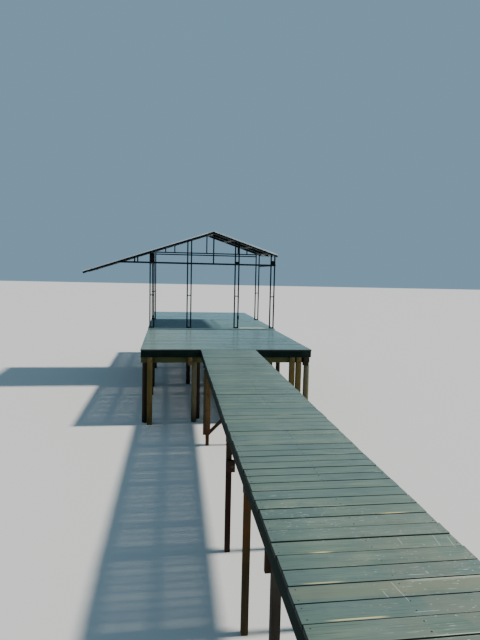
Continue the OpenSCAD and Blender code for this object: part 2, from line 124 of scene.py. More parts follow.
class Finish:
    """A material in the making, with its pattern on Object coordinates."""

    def __init__(self, name):
        self.material = bpy.data.materials.new(name)
        self.material.use_nodes = True
        self.tree = self.material.node_tree
        self.shader = self.tree.nodes["Principled BSDF"]
        self.spot = self.node("TexCoord").out("Object")
        self.facing = self.spot.out("Normal")

    def node(self, kind, settings=None, sockets=None):
        made = self.tree.nodes.new("ShaderNode" + kind)
        for name, setting in (settings or {}).items():
            setattr(made, name, setting)
        for name, value in (sockets or {}).items():
            self.feed(made.inputs[name], value)
        return Value(self, made.outputs[0])

    def feed(self, socket, value):
        if isinstance(value, Value):
            self.tree.links.new(value.socket, socket)
        else:
            socket.default_value = value

    def split(self, vector):
        """The X, Y and Z of a place or a direction."""
        parts = self.node("SeparateXYZ", {}, {0: vector})
        return [parts.out(axis) for axis in "XYZ"]

    def stretched(self, scale, at=None):
        """Coordinates that pack a pattern the more closely, the larger the scale."""
        return self.node("Mapping", {}, {"Vector": at or self.spot, "Scale": scale})

    def along(self, grain_axis, slow, fast):
        """Coordinates for a pattern that is drawn out along one axis, as grain is."""
        return self.stretched([slow if axis == grain_axis else fast for axis in range(3)])

    def noise(self, at, scale, detail, distortion=0.0):
        sockets = {"Vector": at, "Scale": scale, "Detail": detail, "Distortion": distortion}
        return self.node("TexNoise", {}, sockets)

    def cells(self, at, scale):
        return self.node("TexVoronoi", {}, {"Vector": at, "Scale": scale})

    def mix(self, share, first, second):
        """Goes from the first colour to the second as share goes from 0 to 1."""
        made = self.node("Mix", {"data_type": "RGBA"}, {0: share, 6: first, 7: second})
        return made.out(2)

    def wear(self, colour, roughness, height=None, depth=None):
        """Joins what varies over the surface to the shader."""
        self.feed(self.shader.inputs["Base Color"], colour)
        self.feed(self.shader.inputs["Roughness"], roughness)
        if height is not None:
            bump = self.node("Bump", {}, {"Height": height, "Distance": depth, "Strength": 1.0})
            self.feed(self.shader.inputs["Normal"], bump)
        return self.material


def rgb(red, green, blue):
    return (red, green, blue, 1)


def timber(name, grain_axis, early, late, weathered, foot=None, foot_height=0.0, cut_end=None,
           strip=None):
    """Sawn or peeled timber: growth bands, fibres, knots and drying checks along one axis.

    A foot tone colours what has stood in the wet, up to its height. A cut end is the
    tone of what faces up. A strip is an X, with the tone that the piece has to the left of it."""
    finish = Finish(name)
    bands = finish.noise(finish.along(grain_axis, 0.9, 14), 1.0, 3.0, 0.4) * 60
    bands = bands.math("SINE") * 0.5 + 0.5
    fibres = finish.noise(finish.along(grain_axis, 7, 260), 1.0, 3.0)
    stains = finish.noise(finish.spot, 2.4, 4.0)
    checks = finish.noise(finish.along(grain_axis, 0.8, 34), 1.0, 2.0) - 0.5
    checks = checks.math("ABSOLUTE").between(0.0, 0.011)
    knots = finish.cells(finish.along(grain_axis, 2.6, 8.5), 1.0).between(0.07, 0.15)
    colour = finish.mix(bands * 0.55 * fibres, early, late)
    colour = finish.mix(stains.between(0.42, 0.68) * 0.75, colour, weathered)
    colour = finish.mix(knots, late, colour)
    colour = finish.mix(checks, rgb(0.02, 0.014, 0.01), colour)
    x, _, height = finish.split(finish.spot)
    if strip:
        edge, tone = strip
        right = (x + fibres * 0.006).between(edge - 0.002, edge + 0.006)
        colour = finish.mix(right, tone, colour)
    if cut_end:
        _, _, up = finish.split(finish.facing)
        colour = finish.mix(up.between(0.5, 0.8), colour, cut_end)
    if foot:
        dry = (height + stains * 0.5 + fibres * 0.2).between(foot_height, foot_height + 0.5)
        soaked = finish.mix(bands * fibres, foot, rgb(*[tone * 0.45 for tone in foot[:3]]))
        colour = finish.mix(dry * (checks * 0.3 + 0.7), soaked, colour)
    relief = fibres * 0.5 + bands * 0.25 + checks * 0.8
    finish.shader.inputs["Specular IOR Level"].default_value = 0.15
    return finish.wear(colour, stains * 0.25 + 0.62, relief, 0.0012)


def solids_of(node):
    """The separate solids of a CAD node, each as a mesh of clean flat faces."""
    whole = bmesh.new()
    whole.from_mesh(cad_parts[node].data)
    bmesh.ops.remove_doubles(whole, verts=whole.verts, dist=1e-5)
    flat = math.radians(0.6)
    bmesh.ops.dissolve_limit(whole, angle_limit=flat, verts=whole.verts, edges=whole.edges)
    whole.verts.index_update()
    parts = []
    for start in whole.verts:
        if start.tag:
            continue
        start.tag = True
        island = set()
        reach = [start]
        while reach:
            vert = reach.pop()
            island.add(vert.index)
            for edge in vert.link_edges:
                other = edge.other_vert(vert)
                if not other.tag:
                    other.tag = True
                    reach.append(other)
        part = whole.copy()
        outside = [vert for vert in part.verts if vert.index not in island]
        bmesh.ops.delete(part, geom=outside, context="VERTS")
        parts.append(part)
    whole.free()
    return parts


def corners(part):
    places = [vert.co for vert in part.verts]
    low = Vector([min(place[axis] for place in places) for axis in range(3)])
    high = Vector([max(place[axis] for place in places) for axis in range(3)])
    return low, high


def in_order(parts, axis):
    return sorted(parts, key=lambda part: corners(part)[0][axis])


def joined(parts, finishes):
    """One mesh of all parts, which take the finishes in turn."""
    whole = bmesh.new()
    carrier = bpy.data.meshes.new("carrier")
    for i, part in enumerate(parts):
        for face in part.faces:
            face.material_index = i % finishes
        part.to_mesh(carrier)
        part.free()
        whole.from_mesh(carrier)
    bpy.data.meshes.remove(carrier)
    return whole


def finished(name, parts, materials, stands_for=()):
    """Makes one piece of its parts. Edges flatter than the crease angle are shaded as round."""
    crease = math.radians(28)
    whole = joined(parts, len(materials))
    mesh = bpy.data.meshes.new(name)
    whole.to_mesh(mesh)
    whole.free()
    for material in materials:
        mesh.materials.append(material)
    mesh.shade_smooth()
    mesh.set_sharp_from_angle(angle=crease)
    piece = bpy.data.objects.new(name, mesh)
    bpy.context.scene.collection.objects.link(piece)
    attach(piece, "root")
    if stands_for:
        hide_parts(*stands_for)


def rounded(part, lines, edge):
    """Rounds off some of a part's edges."""
    bmesh.ops.bevel(
        part, geom=lines, offset=edge, affect="EDGES", segments=2, profile=0.5, material=-1
    )


def cut_across(part, axis, spacing):
    """Cuts a bar into equal lengths, so that it can bend."""
    low, high = corners(part)
    count = max(1, round((high[axis] - low[axis]) / spacing))
    normal = Vector([1.0 if i == axis else 0.0 for i in range(3)])
    for i in range(1, count):
        place = low + (high - low) * (i / count)
        geometry = part.verts[:] + part.edges[:] + part.faces[:]
        bmesh.ops.bisect_plane(part, geom=geometry, plane_co=place, plane_no=normal)


log_taper, log_edge, log_lumps, log_spacing = 0.93, 0.006, 0.006, 0.12


def log(low, high, seed):
    """A peeled log in the box of a straight pile."""
    radius = (high.x - low.x) / 2
    centre = (low + high) / 2
    part = bmesh.new()
    bmesh.ops.create_cone(
        part, cap_ends=True, segments=28, radius1=radius, radius2=radius * log_taper,
        depth=high.z - low.z,
    )
    bmesh.ops.translate(part, vec=centre, verts=part.verts)
    rims = [edge for edge in part.edges if abs(edge.verts[0].co.z - edge.verts[1].co.z) < 1e-6]
    rounded(part, rims, log_edge)
    cut_across(part, 2, log_spacing)
    for vert in part.verts:
        out = Vector((vert.co.x - centre.x, vert.co.y - centre.y, 0))
        if out.length > radius * 0.5:
            drawn_out = Vector((vert.co.x, vert.co.y, vert.co.z * 0.35))
            lump = noise.noise(drawn_out * 16 + Vector((seed, 0, 0))) * 0.5
            lump += noise.noise(vert.co * 9 + Vector((0, seed, 0))) * 0.5
            vert.co += out.normalized() * (lump - 0.5) * log_lumps
    return part


def logs_of(node):
    return [log(*corners(part), seed) for seed, part in enumerate(in_order(solids_of(node), 0))]


pile_wood = timber(
    "pile_wood", 2, rgb(0.13, 0.115, 0.06), rgb(0.06, 0.048, 0.026), rgb(0.12, 0.118, 0.085),
    foot=rgb(0.05, 0.035, 0.022), foot_height=0.35, cut_end=rgb(0.42, 0.36, 0.25),
)
# The same piles in painted shade: near-black tones for the piles in the shade under the decks.
shaded_pile = timber(
    "shaded_pile_wood", 2, rgb(0.028, 0.018, 0.010), rgb(0.012, 0.008, 0.005),
    rgb(0.024, 0.019, 0.012), foot=rgb(0.02, 0.012, 0.008), foot_height=0.0,
)
# The old piles take the painted-shade copy and the lit tones in turn.
finished("platform_old_piles_logs", logs_of("platform_old_piles"), [shaded_pile, pile_wood],
         ["platform_old_piles"])
for node in ("platform_piles", "upper_piles"):
    finished(node + "_logs", logs_of(node), [shaded_pile], [node])


# Square legs and posts: sawn four-square, set on end in pairs and lined up by eye.
# The walkway's legs are old reddish timber, and the platform's front posts are new and treated.
# Two of the left legs have a sister board bolted beside them.
def eased(part, edge):
    """Takes the sharpness off all edges of a part."""
    rounded(part, [line for line in part.edges if line.calc_face_angle(0) > 0.2], edge)
    return part


bend_spacing = 0.3


def sawn(part, grain_axis, seed, edge=0.004, spacing=bend_spacing):
    """Eases the edges of a sawn bar and lets it wander off straight."""
    wander, roughness = 0.002, 0.0004
    eased(part, edge)
    cut_across(part, grain_axis, spacing)
    for vert in part.verts:
        along = vert.co[grain_axis] * 0.9
        for axis in range(3):
            if axis != grain_axis:
                vert.co[axis] += noise.noise(Vector((along, seed * 3.7, axis * 5.1))) * wander
        rough = noise.noise(vert.co * 60 + Vector((seed, 0, 0)))
        vert.co += vert.normal * (rough * roughness)
    return part


def sawn_pieces(nodes, grain_axis, materials, slot, **shape):
    """Pieces of sawn bars; where there are several finishes, the bars take them along Y."""
    for node in nodes:
        bars = in_order(solids_of(node), 1)
        bars = [sawn(part, grain_axis, seed, **shape) for seed, part in enumerate(bars)]
        finished(node + "_sawn", bars, materials, [node])


plank_edge = 0.003
# Old timber tones and the grey, brown and red legs are darkened as painted shade under the
# walkway.
old_tones = rgb(0.062, 0.030, 0.014), rgb(0.024, 0.012, 0.007), rgb(0.040, 0.033, 0.020)
red_foot = rgb(0.066, 0.024, 0.010)
grey_leg = timber(
    "grey_leg_wood", 2, rgb(0.045, 0.036, 0.028), rgb(0.016, 0.013, 0.010), rgb(0.07, 0.065, 0.055)
)
brown_leg = timber(
    "brown_leg_wood", 2, rgb(0.100, 0.044, 0.011), rgb(0.041, 0.017, 0.006),
    rgb(0.055, 0.040, 0.015), foot=rgb(0.050, 0.035, 0.014), foot_height=0.9,
)
red_leg = timber("red_leg_wood", 2, *old_tones, foot=rgb(0.030, 0.011, 0.008), foot_height=1.3)
pale_leg = timber(
    "pale_leg_wood", 2, rgb(0.20, 0.125, 0.036), rgb(0.10, 0.058, 0.018), rgb(0.120, 0.092, 0.036),
    foot=red_foot, foot_height=0.55,
)
scab_wood = timber(
    "scab_wood", 2, rgb(0.06, 0.028, 0.018), rgb(0.03, 0.014, 0.01), rgb(0.024, 0.012, 0.007)
)
sister_wood = timber(
    "sister_wood", 2, rgb(0.150, 0.088, 0.030), rgb(0.075, 0.040, 0.014),
    rgb(0.090, 0.068, 0.028), foot=red_foot, foot_height=0.5,
    strip=(0.342, rgb(0.062, 0.055, 0.026)),
)
post_wood = timber(
    "post_wood", 2, rgb(0.145, 0.095, 0.026), rgb(0.066, 0.043, 0.012), rgb(0.088, 0.075, 0.024)
)
sawn_pieces(["walkway_legs_left", "walkway_legs_right"], 2,
            [grey_leg, grey_leg, brown_leg, red_leg, pale_leg], "old_timber")
sawn_pieces(["walkway_sister_boards"], 2, [scab_wood, sister_wood], "old_timber",
            edge=plank_edge)
sawn_pieces(["platform_posts"], 2, [post_wood], "treated_timber")
sawn_pieces(["platform_corner_block"], 2, [shaded_pile], "pile_timber", spacing=0.1)


# Beams, brace and joists: planks on edge, bolted to the legs or laid over the piles.
# All are old timber but the beam at the platform's front, which is new and treated.
beam_wood = timber("beam_wood", 0, *old_tones)
joist_wood = timber("joist_wood", 1, *old_tones)
# The front beam's tones are darkened as painted shade, for the shade under the platform's edge.
front_beam_wood = timber(
    "front_beam_wood", 0, rgb(0.082, 0.086, 0.028), rgb(0.043, 0.042, 0.016),
    rgb(0.060, 0.076, 0.032),
)
cross_planks = [
    "walkway_crossbeams", "walkway_brace", "platform_beams", "upper_beams", "platform_rim_back"
]
joists = ["walkway_joist", "platform_joists", "upper_joists"]
sawn_pieces(cross_planks, 0, [beam_wood], "old_timber", edge=plank_edge)
sawn_pieces(["platform_front_beam"], 0, [front_beam_wood], "treated_timber", edge=plank_edge)
sawn_pieces(joists, 1, [joist_wood], "old_timber", edge=plank_edge)


# Bolts: galvanised round heads and washers, gone brown, through the legs into the beams behind.
# Each leg and each front post has a pair, one above the other, and the sister boards have rows.
washer_radius, washer_thick, washer_stand = 0.022, 0.003, 0.0012
head_radius, head_high, head_stand = washer_radius * 0.62, 0.009, 0.0055
beam_thick = 0.038


def bolt(place, facing):
    """A washer and a domed head on a face that looks along Y; facing is -1 or 1."""
    part = bmesh.new()
    washer, head = (washer_radius, washer_thick, 0.0), (head_radius, head_high, head_stand)
    for radius, depth, out in (washer, head):
        made = bmesh.ops.create_cone(
            part, cap_ends=True, segments=12, radius1=radius, radius2=radius * 0.8, depth=depth
        )
        bmesh.ops.translate(part, vec=(0, 0, out), verts=made["verts"])
    turn = Matrix.Rotation(-facing * math.pi / 2, 3, "X")
    bmesh.ops.rotate(part, matrix=turn, verts=part.verts)
    stand = Vector((0, facing * washer_stand, 0))
    bmesh.ops.translate(part, vec=place + stand, verts=part.verts)
    return part


def rusty_steel(name, steel, rust):
    finish = Finish(name)
    tone = finish.noise(finish.spot, 90.0, 3.0)
    patches = finish.noise(finish.spot, 21.0, 4.0).between(0.42, 0.6)
    colour = finish.mix(patches, steel, rust)
    return finish.wear(finish.mix(tone * 0.5, colour, rgb(0.02, 0.015, 0.012)), tone * 0.3 + 0.5)


def bolt_pair(part, beam, step, stagger):
    """Two places on a part's front face, a step above and below the middle of a beam."""
    low, high = corners(part)
    beam_low, beam_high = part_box(beam)
    middle_x, middle_z = (low.x + high.x) / 2, (beam_low.z + beam_high.z) / 2
    return [Vector((middle_x + rise * stagger, low.y, middle_z + rise)) for rise in (-step, step)]


bolt_steel = rusty_steel("bolt_steel", rgb(0.045, 0.042, 0.038), rgb(0.055, 0.026, 0.014))
bolts = []
for node in ("walkway_legs_left", "walkway_legs_right"):
    for part in solids_of(node):
        low, high = corners(part)
        for place in bolt_pair(part, "walkway_crossbeams", step=0.042, stagger=0.25):
            through = Vector((0, high.y - low.y + beam_thick, 0))
            bolts += [bolt(place, -1), bolt(place + through, 1)]
        part.free()
for part in solids_of("platform_posts"):
    places = bolt_pair(part, "platform_front_beam", step=0.036, stagger=-0.4)
    bolts += [bolt(place, -1) for place in places]
    part.free()
sister_bolt_spacing, sister_bolt_stagger = 0.34, 0.01
for part in solids_of("walkway_sister_boards"):
    low, high = corners(part)
    rows = max(1, round((high.z - low.z) / sister_bolt_spacing))
    for i in range(rows):
        x = (low.x + high.x) / 2 + sister_bolt_stagger * (-1) ** i
        bolts.append(bolt(Vector((x, low.y, low.z + (i + 0.5) * (high.z - low.z) / rows)), -1))
    part.free()
finished("bolts", bolts, [bolt_steel])


# Rim boards: rough sawn boards on edge round the walkway and the decks, nailed to the joists'
# ends.
# They have the decks' dark green paint, dull and thin on the saw marks, darkened here as painted
# shade.
def rim_paint(name, grain_axis):
    finish = Finish(name)
    fibres = finish.noise(finish.along(grain_axis, 5, 190), 1.0, 4.0)
    saw_marks = finish.noise(finish.along(grain_axis, 160, 8), 1.0, 2.0)
    blotches = finish.noise(finish.spot, 3.1, 5.0)
    bare = (blotches * 0.6 + fibres * 0.4).between(0.60, 0.70)
    dull = blotches.between(0.35, 0.7)
    # Both greens are far darker than the decks' paint: painted shade.
    colour = finish.mix(dull, rgb(0.004, 0.013, 0.010), rgb(0.009, 0.022, 0.017))
    colour = finish.mix(fibres * 0.5, colour, rgb(0.002, 0.005, 0.005))
    colour = finish.mix(bare * 0.4, colour, rgb(0.030, 0.028, 0.020))
    relief = fibres * 0.6 + saw_marks * 0.4
    finish.shader.inputs["Specular IOR Level"].default_value = 0.06
    return finish.wear(colour, blotches * 0.2 + 0.6, relief, 0.0012)


side_rims = ["walkway_rim_left", "walkway_rim_right", "platform_rim_left", "platform_rim_right",
             "upper_rim_left", "upper_rim_right"]
cross_rims = ["walkway_rim_end", "platform_rim_front", "upper_rim_front", "upper_rim_back"]
paint_along, paint_across = rim_paint("rim_paint_along", 1), rim_paint("rim_paint_across", 0)
sawn_pieces(side_rims, 1, [paint_along], "rim_paint", edge=plank_edge)
sawn_pieces(cross_rims, 0, [paint_across], "rim_paint", edge=plank_edge)


# Deck boards: sawn boards laid across with a finger's gap, each a little cupped and crooked.
# They are nailed twice to every joist, and rolled with green deck paint that scuffs and wears.
board_pitch, board_width, board_edge = 0.1524, 0.1405, 0.005
# Board sides: side shade is painted shade, and the front side highlight is a painted highlight.
side_shade, front_side_highlight = rgb(0.006, 0.012, 0.011), rgb(0.45, 0.54, 0.53)


def deck_paint(name, gloss, shine=0.5, pale_shift=0.0, dust_reach=None, near_side_shading=side_shade,
               worn_places=(), scratches=()):
    """Pale shift moves the deck towards the pale blue tint. Dust thickens from one X to the other
    of its reach.
    Near side shading is painted light or shade on sides that face the near end; other sides get
    painted shade.

    Worn places are boxes in X and Y, each with how much of which tone shows there; scratches are
    lines in X and Y."""
    finish = Finish(name)
    x, y, _ = finish.split(finish.spot)
    _, facing_y, facing_z = finish.split(finish.facing)

    # Each board takes another stretch of the pattern, by its number.
    rows = y / board_pitch
    number = rows.math("FLOOR")
    from_edge = 0.5 - (rows - number - 0.5).math("ABSOLUTE")
    chance = finish.node("TexWhiteNoise", {"noise_dimensions": "1D"}, {"W": number + 0.5})
    shifted = finish.node("CombineXYZ", {}, {"X": x + chance * 40, "Y": y, "Z": chance * 9})

    def along(slow, fast):
        return finish.stretched((slow, fast, fast), shifted)

    fibres = finish.noise(along(4, 150), 1.0, 4.0)
    streaks = finish.noise(along(1.1, 22), 1.0, 4.0)
    blotches = finish.noise(shifted, 1.7, 4.0)
    mottled = finish.noise(shifted, 4.5, 4.0, 0.6)

    # The paint itself; towards the far end a paler, bluer tint is mixed in as a painted sky
    # reflection.
    streaky = streaks.between(0.3, 0.7)
    colour = finish.mix(streaky, rgb(0.112, 0.156, 0.110), rgb(0.168, 0.207, 0.147))
    colour = finish.mix(chance * 0.65, colour, rgb(0.095, 0.140, 0.122))
    pale_tint_share = y.between(-4.0, 10.4) * (0.85 - pale_shift * 0.5) + (0.06 + pale_shift)
    colour = finish.mix(pale_tint_share, colour, rgb(0.16, 0.312, 0.372))
    colour = finish.mix(blotches.between(0.45, 0.7) * 0.5, colour, rgb(0.075, 0.125, 0.118))
    colour = finish.mix(mottled.between(0.45, 0.7) * 0.4, colour, rgb(0.075, 0.120, 0.125))
    colour = finish.mix(fibres.between(0.45, 0.72) * 0.62, colour, rgb(0.052, 0.086, 0.074))
    dust = finish.noise(finish.spot, 0.9, 5.0).between(0.5, 0.8) * 0.25
    if dust_reach:
        dust = x.between(*dust_reach) * 0.5 + dust
    colour = finish.mix(dust, colour, rgb(0.22, 0.275, 0.225))

    # Wear to the bare wood: here and there along board edges, and at the worn places.
    spots = finish.noise(along(1.6, 3.0), 1.0, 1.0).between(0.635, 0.67)
    worn = (1 - from_edge.between(0.05, 0.10)) * spots * streaks.between(0.36, 0.5)
    colour = finish.mix(worn * 0.65, colour, rgb(0.42, 0.44, 0.30))
    ragged = x + (streaks - 0.5) * 0.3
    for low_x, high_x, low_y, high_y, share, tone in worn_places:
        soft = (high_y - low_y) * 0.2
        inside = ragged.between(low_x, low_x + 0.1) - ragged.between(high_x, high_x + 0.1)
        inside = inside * (y.between(low_y, low_y + soft) - y.between(high_y - soft, high_y))
        inside = inside * (fibres.between(0.3, 0.5) * 0.4 + 0.6)
        colour = finish.mix(inside * share, colour, tone)

    # Pale scuffs and specks, mostly on the trodden boards at the near end, and long scratches.
    landing = x.between(0.35, 1.15) * (1 - y.between(-9.0, -7.8))
    trodden = landing * mottled.between(0.3, 0.6) * 0.35
    colour = finish.mix(trodden, colour, rgb(0.24, 0.225, 0.155))
    patches = finish.noise(finish.spot, 1.15, 3.0).between(0.50, 0.64) * 0.6
    scrapes = finish.noise(along(9, 130), 1.0, 2.0).between(0.66, 0.72)
    ruffled = finish.noise(finish.spot, 30.0, 2.0) * 1.6
    specks = finish.cells(finish.stretched((19, 50, 5)), 1.0) + (ruffled - 0.8) * 0.16
    specks = 1 - specks.between(0.05, 0.17)
    pale = (scrapes + specks) * (patches + landing * streaks.between(0.3, 0.6))
    pale = pale.math("MINIMUM", 1.0)
    for from_x, from_y, to_x, to_y in scratches:
        length = math.hypot(to_x - from_x, to_y - from_y)
        step_x, step_y = (to_x - from_x) / length, (to_y - from_y) / length
        forward = (x - from_x) * step_x + (y - from_y) * step_y
        aside = ((x - from_x) * step_y - (y - from_y) * step_x).math("ABSOLUTE")
        line = forward.between(0, 0.02) - forward.between(length - 0.02, length)
        line = line * (1 - aside.between(0.0008, 0.003)) * fibres.between(0.3, 0.5)
        pale = pale.math("MAXIMUM", line * 0.75)
    colour = finish.mix(pale * 0.7, colour, rgb(0.52, 0.60, 0.58))

    # Board sides take painted shade, or the near side shading where they face the near end.
    top = facing_z.between(0.2, 0.75)
    side = finish.mix(facing_y.between(-0.7, -0.5), near_side_shading, side_shade)
    colour = finish.mix(top, side, colour)
    roughness = 0.30 - gloss + blotches * 0.14 + worn * 0.25 + (1 - top) * 0.5
    relief = (fibres * 0.5 + streaks * 0.5 - worn * 0.2) * (1 - gloss * 3)
    finish.shader.inputs["Specular IOR Level"].default_value = shine
    return finish.wear(colour, roughness, relief, 0.0006)


def line_through(points):
    """The X of a line that runs along Y through some points, as a function of Y."""
    points = sorted(points)

    def place(y):
        for (y0, x0), (y1, x1) in zip(points, points[1:]):
            if y <= y1:
                break
        return x0 + (x1 - x0) * (y - y0) / (y1 - y0)

    return place


def middle_line(part):
    """The middle of a part that runs along Y, bends and all."""
    levels = sorted({round(vert.co.y, 3) for vert in part.verts})
    rows = [[vert.co.x for vert in part.verts if abs(vert.co.y - y) < 0.001] for y in levels]
    return line_through([(y, (min(row) + max(row)) / 2) for y, row in zip(levels, rows)])


def side_lines(part):
    """Left and right edges of a deck, where each has only its own bends."""
    low, high = corners(part)
    middle = (low.x + high.x) / 2
    left = {(round(vert.co.y, 4), vert.co.x) for vert in part.verts if vert.co.x < middle}
    right = {(round(vert.co.y, 4), vert.co.x) for vert in part.verts if vert.co.x > middle}
    return line_through(left), line_through(right)


def board(near, bottom, top, sides, seed):
    """One deck board: eased edges, a slight cup, crook and bow, and free sawn ends."""
    chance = random.Random(seed)
    width = board_width + chance.uniform(-0.002, 0.0085)
    thick = top - bottom
    far = near + board_pitch
    middle = (near + far) / 2 + chance.uniform(-0.0018, 0.0018)
    left_side, right_side = sides
    left = max(left_side(near), left_side(far)) + chance.uniform(0, 0.008)
    right = min(right_side(near), right_side(far)) - chance.uniform(0, 0.008)
    part = bmesh.new()
    bmesh.ops.create_cube(part, size=1)
    bmesh.ops.scale(part, vec=(right - left, width, thick), verts=part.verts)
    rounded(part, part.edges[:], board_edge)
    cut_across(part, 0, bend_spacing)
    cut_across(part, 1, width / 4)
    cup = chance.uniform(-0.0018, 0.0024)
    lean = chance.uniform(-0.014, 0.014)
    drop = chance.uniform(-0.0026, 0.0)
    for vert in part.verts:
        across = vert.co.y / (width / 2)
        along = (vert.co.x + seed * 11.3) * 0.55
        bow = noise.noise(Vector((along, seed * 1.7, 0.5))) * 0.001
        crook = noise.noise(Vector((along, seed * 2.3, 8.5))) * 0.004
        twist = noise.noise(Vector((along * 0.6, seed * 2.9, 16.5))) * 0.012
        vert.co.z += cup * (across * across - 0.4) + (lean + twist) * vert.co.y + bow
        vert.co.y += crook
    place = Vector(((left + right) / 2, middle, bottom + thick / 2 + drop))
    bmesh.ops.translate(part, vec=place, verts=part.verts)
    return part


nail_radius, nail_top_radius, nail_thick, nail_stand = 0.0058, 0.0046, 0.003, -0.0022
nail_from_middle, nail_stray = 0.042, 0.006


def nail(place, seed):
    """A nail's head, driven nearly flush and turned as it happened to be."""
    part = bmesh.new()
    bmesh.ops.create_cone(
        part, cap_ends=True, segments=8, radius1=nail_radius, radius2=nail_top_radius,
        depth=nail_thick,
    )
    bmesh.ops.rotate(part, matrix=Matrix.Rotation(seed * 0.7, 3, "Z"), verts=part.verts)
    bmesh.ops.translate(part, vec=place, verts=part.verts)
    return part


# Marks are low X, high X, low Y, high Y, share and tone; scratches run from X, Y to X, Y.
bare, chalked, scuffed = rgb(0.60, 0.55, 0.26), rgb(0.55, 0.60, 0.48), rgb(0.190, 0.196, 0.118)
walkway_marks = [
    (0.33, 0.58, -9.291, -9.277, 0.9, bare), (0.30, 0.46, -8.987, -8.974, 0.7, bare),
    (0.42, 0.52, -8.682, -8.668, 0.9, bare), (1.12, 1.26, -8.225, -8.211, 0.9, bare),
    (0.95, 1.60, -9.024, -8.984, 0.8, chalked), (0.85, 1.30, -9.460, -9.434, 0.8, chalked),
    (0.72, 1.60, -9.130, -8.990, 0.55, scuffed), (0.20, 0.72, -9.130, -8.990, 0.45, scuffed),
]
upper_marks = [
    (1.70, 2.50, 3.82, 3.955, 1.0, rgb(0.66, 0.68, 0.47)), (1.70, 2.50, 3.96, 4.26, 0.5, chalked),
]
walkway_scratches = [
    (0.835, -9.004, 0.862, -9.190), (0.756, -9.077, 0.767, -9.156), (1.088, -8.549, 1.082, -8.648),
    (1.424, -8.569, 1.401, -8.715), (1.338, -8.535, 1.318, -8.683),
]
walkway_paint = deck_paint(
    "deck_paint_walkway", 0.03, worn_places=walkway_marks, scratches=walkway_scratches
)
platform_paint = deck_paint(
    "deck_paint_platform", 0.13, shine=0.55, pale_shift=0.16, dust_reach=(1.4, -0.9)
)
upper_paint = deck_paint(
    "deck_paint_upper", -0.1, shine=0.15, near_side_shading=front_side_highlight, worn_places=upper_marks
)
rear_paint = deck_paint("deck_paint_rear", 0.12)
nail_steel = rusty_steel("nail_heads", rgb(0.03, 0.04, 0.038), rgb(0.045, 0.025, 0.015))
upper_carriers = ["upper_rim_left", "upper_joists", "upper_rim_right"]
decks = {
    "walkway": (walkway_paint, ["walkway_rim_left", "walkway_joist", "walkway_rim_right"]),
    "platform": (platform_paint, ["platform_rim_left", "platform_joists", "platform_rim_right"]),
    "canopy": (upper_paint, upper_carriers),
    "rear": (rear_paint, upper_carriers),
}
board_seeds, nail_seeds = 1000, 5000
nails = []
for deck, (paint, carriers) in decks.items():
    low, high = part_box(deck + "_deck")
    sides = side_lines(solids_of(deck + "_deck")[0])
    lines = [middle_line(part) for node in carriers for part in solids_of(node)]
    boards = []
    for i in range(round((high.y - low.y) / board_pitch)):
        seed = round(low.y / board_pitch) + i + board_seeds
        near = low.y + i * board_pitch
        boards.append(board(near, low.z, high.z, sides, seed))
        chance = random.Random(seed + nail_seeds)
        for line in lines:
            for side in (-nail_from_middle, nail_from_middle):
                y = near + board_pitch / 2 + side + chance.uniform(-nail_stray, nail_stray)
                x = line(y) + chance.uniform(-nail_stray, nail_stray)
                nails.append(nail(Vector((x, y, high.z + nail_stand)), seed))
    finished(deck + "_boards", boards, [paint], [deck + "_deck"])
finished("deck_nails", nails, [nail_steel])


# Canopy frame: square steel tube, cut, welded and painted black, standing on foot plates.
# Posts are twin tubes with rungs, and the rafters carry tube purlins between them.
def black_paint():
    finish = Finish("black_paint")
    peel = finish.noise(finish.spot, 300.0, 2.0)
    grime = finish.noise(finish.spot, 5.0, 5.0)
    rust = finish.noise(finish.spot, 23.0, 6.0).between(0.63, 0.69)
    dirty = grime.between(0.4, 0.75)
    colour = finish.mix(dirty, rgb(0.002, 0.003, 0.004), rgb(0.008, 0.009, 0.010))
    colour = finish.mix(rust * 0.4, colour, rgb(0.04, 0.018, 0.010))
    finish.shader.inputs["Specular IOR Level"].default_value = 0.12
    return finish.wear(colour, grime * 0.25 + rust * 0.3 + 0.34, peel + grime * 2, 0.0003)


tube_edge, plate_edge = 0.003, 0.0015
black_steel = black_paint()
tube_nodes = [
    "canopy_posts_front", "canopy_posts_back", "canopy_chord", "canopy_ties", "canopy_webs",
    "canopy_eave_beams", "rafters_left", "rafters_right", "purlins_left", "purlins_right",
]
for node in tube_nodes:
    tubes = [eased(part, tube_edge) for part in solids_of(node)]
    finished(node + "_tubes", tubes, [black_steel], [node])
for node in ("canopy_head_plates", "mooring_cleat"):
    plates = [eased(part, plate_edge) for part in solids_of(node)]
    finished(node + "_steel", plates, [black_steel], [node])


# Cleat plate: an oval steel plate with a chamfered rim, welded to the post behind the cleat.
# It is painted black with the frame.
plate_wide, plate_thick, plate_high = 0.062, 0.005, 0.180
cleat_low, cleat_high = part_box("mooring_cleat")
plate_middle = (cleat_low + cleat_high) / 2
plate_middle.y = cleat_high.y - plate_thick / 2
plate_size = (plate_wide, plate_thick, plate_high)
cleat_plate = bmesh.new()
bmesh.ops.create_cone(cleat_plate, cap_ends=True, segments=32, radius1=0.5, radius2=0.46, depth=1)
upright = Matrix.Rotation(math.pi / 2, 3, "X")
bmesh.ops.rotate(cleat_plate, matrix=upright, verts=cleat_plate.verts)
bmesh.ops.scale(cleat_plate, vec=plate_size, verts=cleat_plate.verts)
bmesh.ops.translate(cleat_plate, vec=plate_middle, verts=cleat_plate.verts)
finished("cleat_plate", [cleat_plate], [black_steel])


# Foot screws: four hexagon heads with washers hold each post's foot plate down on the boards.
foot_plate_thick, screw_from_side, screw_from_front = 0.008, 0.030, 0.010
screw_washer_thick, screw_head_high, screw_head_stand = 0.0016, 0.006, 0.0036


